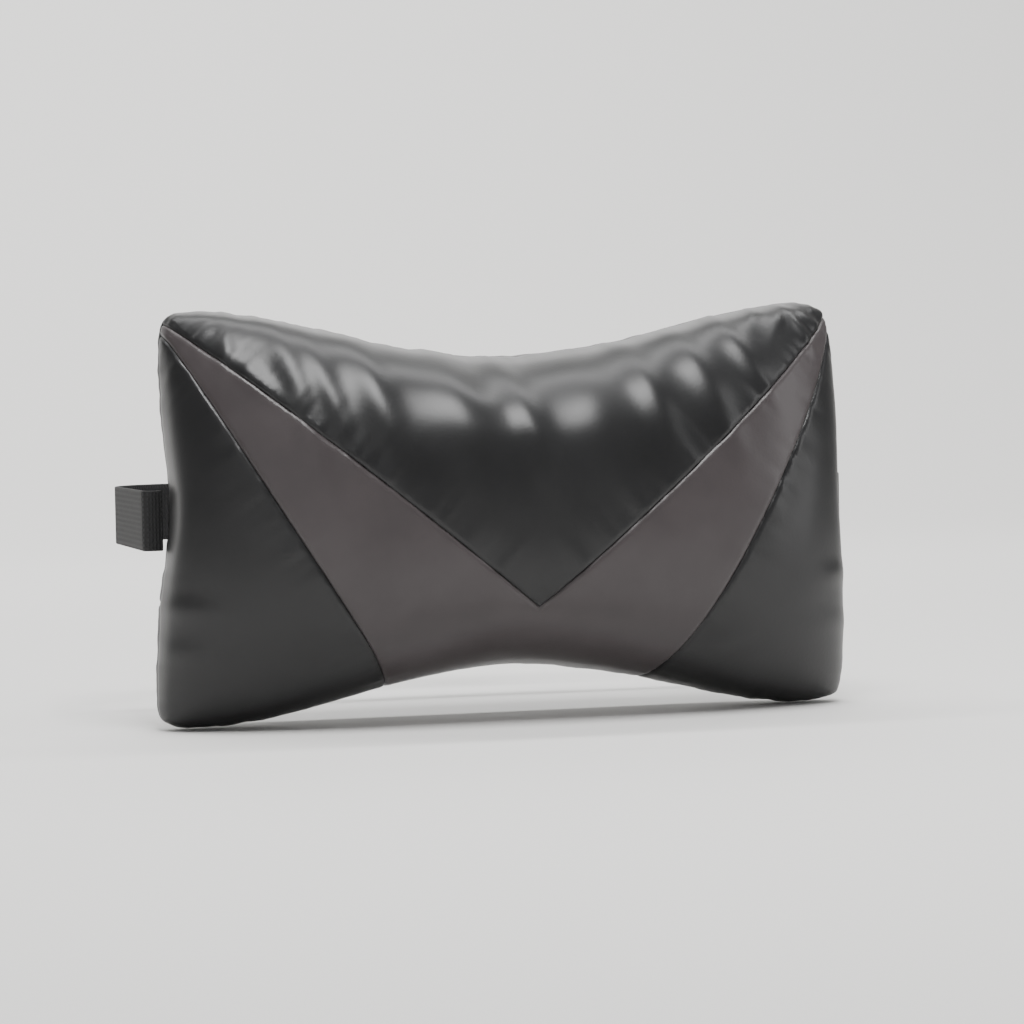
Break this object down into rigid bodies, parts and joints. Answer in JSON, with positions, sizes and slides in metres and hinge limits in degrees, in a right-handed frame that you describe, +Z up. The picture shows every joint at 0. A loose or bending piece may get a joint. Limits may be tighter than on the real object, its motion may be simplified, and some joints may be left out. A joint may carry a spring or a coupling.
{
  "type": "strap-on support cushion",
  "caption": "Padded support cushion with dipped long edges, a contrasting chevron panel, a zipped cover and a buckled strap loop that goes round a chair's backrest.",
  "frame": {"origin": "middle of the cushion's flat back face, where it bears on the chair's backrest", "axes": "+X to the right seen from the front, along the cushion's length; +Y back into the backrest, out of the flat back face; +Z up. The padded front faces -Y."},
  "size_m": [0.3056, 0.1861, 0.1694],
  "materials": {
    "cover_black": "black coated fabric, soft sheen, fine grain",
    "cover_grey": "dark grey coated fabric, soft sheen, fine grain",
    "liner_cloth": "plain white non-woven cloth",
    "fibre_fill": "lofty white polyester fibre",
    "webbing": "matt black ribbed polypropylene webbing",
    "thread": "black polyester sewing thread",
    "zip_tape": "black woven zip tape",
    "zip_nylon": "black nylon teeth",
    "zip_metal": "black lacquered die casting",
    "moulded_plastic": "black acetal, fine spark-eroded texture",
    "label_cloth": "white satin ribbon, blank"
  },
  "bodies": {
    "cushion": {"cover_front_upper": "cover_black", "cover_front_chevron": "cover_grey", "cover_front_left": "cover_black", "cover_front_right": "cover_black", "cover_back_upper": "cover_black", "cover_back_lower": "cover_black", "liner_front": "liner_cloth", "liner_back": "liner_cloth", "fill_core": "fibre_fill", "zip_tape_upper": "zip_tape", "zip_tape_lower": "zip_tape", "zip_teeth_upper": "zip_nylon", "zip_teeth_lower": "zip_nylon", "zip_top_stops": "zip_metal", "zip_bottom_stop": "zip_metal", "strap_left": "webbing", "strap_right": "webbing", "strap_box_stitch": "thread", "buckle_socket": "moulded_plastic", "care_label": "label_cloth"},
    "zip_slider": {"zip_slider": "zip_metal"},
    "zip_pull": {"zip_pull": "zip_metal"},
    "buckle_plug": {"buckle_plug": "moulded_plastic"},
    "prong_upper": {"buckle_prong_upper": "moulded_plastic"},
    "prong_lower": {"buckle_prong_lower": "moulded_plastic"},
    "strap_keeper": {"strap_keeper": "moulded_plastic"}
  },
  "joints": [
    {"name": "zip_slide", "type": "slide", "parent": "cushion", "child": "zip_slider", "axis": [-1, 0, 0], "range_m": [0, 0.168], "deforming": ["zip_teeth_upper", "zip_teeth_lower"]},
    {"name": "zip_pull_swing", "type": "hinge", "parent": "zip_slider", "child": "zip_pull", "pos_m": [0.0844, 0.0023, -0.034], "axis": [0, 0, -1], "range_deg": [0, 180]},
    {"name": "buckle_release", "type": "slide", "parent": "cushion", "child": "buckle_plug", "axis": [-1, 0, 0], "range_m": [0, 0.028], "deforming": ["strap_left", "buckle_prong_upper", "buckle_prong_lower"]},
    {"name": "prong_upper_flex", "type": "hinge", "parent": "buckle_plug", "child": "prong_upper", "pos_m": [-0.0102, 0.0964, 0.0086], "axis": [0, 1, 0], "range_deg": [0, 8], "stiffness_Nm_per_rad": 1},
    {"name": "prong_lower_flex", "type": "hinge", "parent": "buckle_plug", "child": "prong_lower", "pos_m": [-0.0102, 0.0964, -0.0086], "axis": [0, 1, 0], "range_deg": [-8, 0], "stiffness_Nm_per_rad": 1},
    {"name": "keeper_slide", "type": "slide", "parent": "cushion", "child": "strap_keeper", "axis": [1, 0, 0], "range_m": [-0.008, 0.03]}
  ],
  "couplings": [
    {"joint": "prong_lower_flex", "follows": "prong_upper_flex", "ratio": -1}
  ]
}
